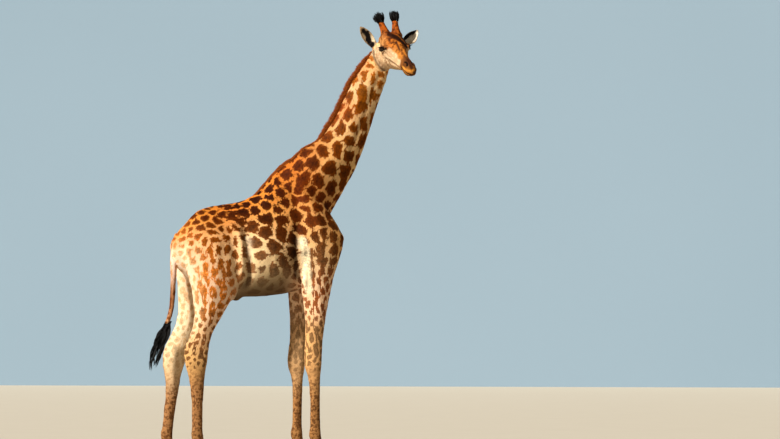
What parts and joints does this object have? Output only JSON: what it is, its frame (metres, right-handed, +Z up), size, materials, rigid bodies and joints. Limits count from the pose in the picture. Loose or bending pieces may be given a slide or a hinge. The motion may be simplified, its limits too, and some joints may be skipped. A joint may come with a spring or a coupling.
{
  "type": "young bull giraffe",
  "caption": "Young bull giraffe standing still with its neck raised and its head turned to its right, patched coat, upright mane, tufted horns and tufted tail",
  "frame": {"origin": "On the floor, under the middle of the animal's own box.", "axes": "+X the way the body faces, +Y the animal's left, +Z up."},
  "size_m": [2.6076, 0.8042, 4.1965],
  "materials": {
    "coat": "short flat hair, dark chestnut patches on a tan to cream ground",
    "mane_hair": "stiff upright red-brown hair",
    "black_hair": "long coarse black hair",
    "eye": "wet and dark",
    "hoof_horn": "dull worn horn"
  },
  "bodies": {
    "root": {"trunk": "coat", "neck": "coat", "mane": "mane_hair", "tail": "coat", "tail_tuft": "black_hair", "hoof_front_right_left_toe": "hoof_horn", "hoof_front_right_right_toe": "hoof_horn", "leg_front_right_upper": "coat", "leg_front_right_lower": "coat", "hoof_front_left_left_toe": "hoof_horn", "hoof_front_left_right_toe": "hoof_horn", "leg_front_left_upper": "coat", "leg_front_left_lower": "coat", "hoof_hind_right_left_toe": "hoof_horn", "hoof_hind_right_right_toe": "hoof_horn", "leg_hind_right_upper": "coat", "leg_hind_right_lower": "coat", "hoof_hind_left_left_toe": "hoof_horn", "hoof_hind_left_right_toe": "hoof_horn", "leg_hind_left_upper": "coat", "leg_hind_left_lower": "coat", "eye_right": "eye", "eye_left": "eye", "ossicone_right": "coat", "ossicone_brush_right": "black_hair", "ear_right": "coat", "ossicone_left": "coat", "ossicone_brush_left": "black_hair", "ear_left": "coat", "head": "coat", "lower_jaw": "coat"}
  },
  "joints": []
}
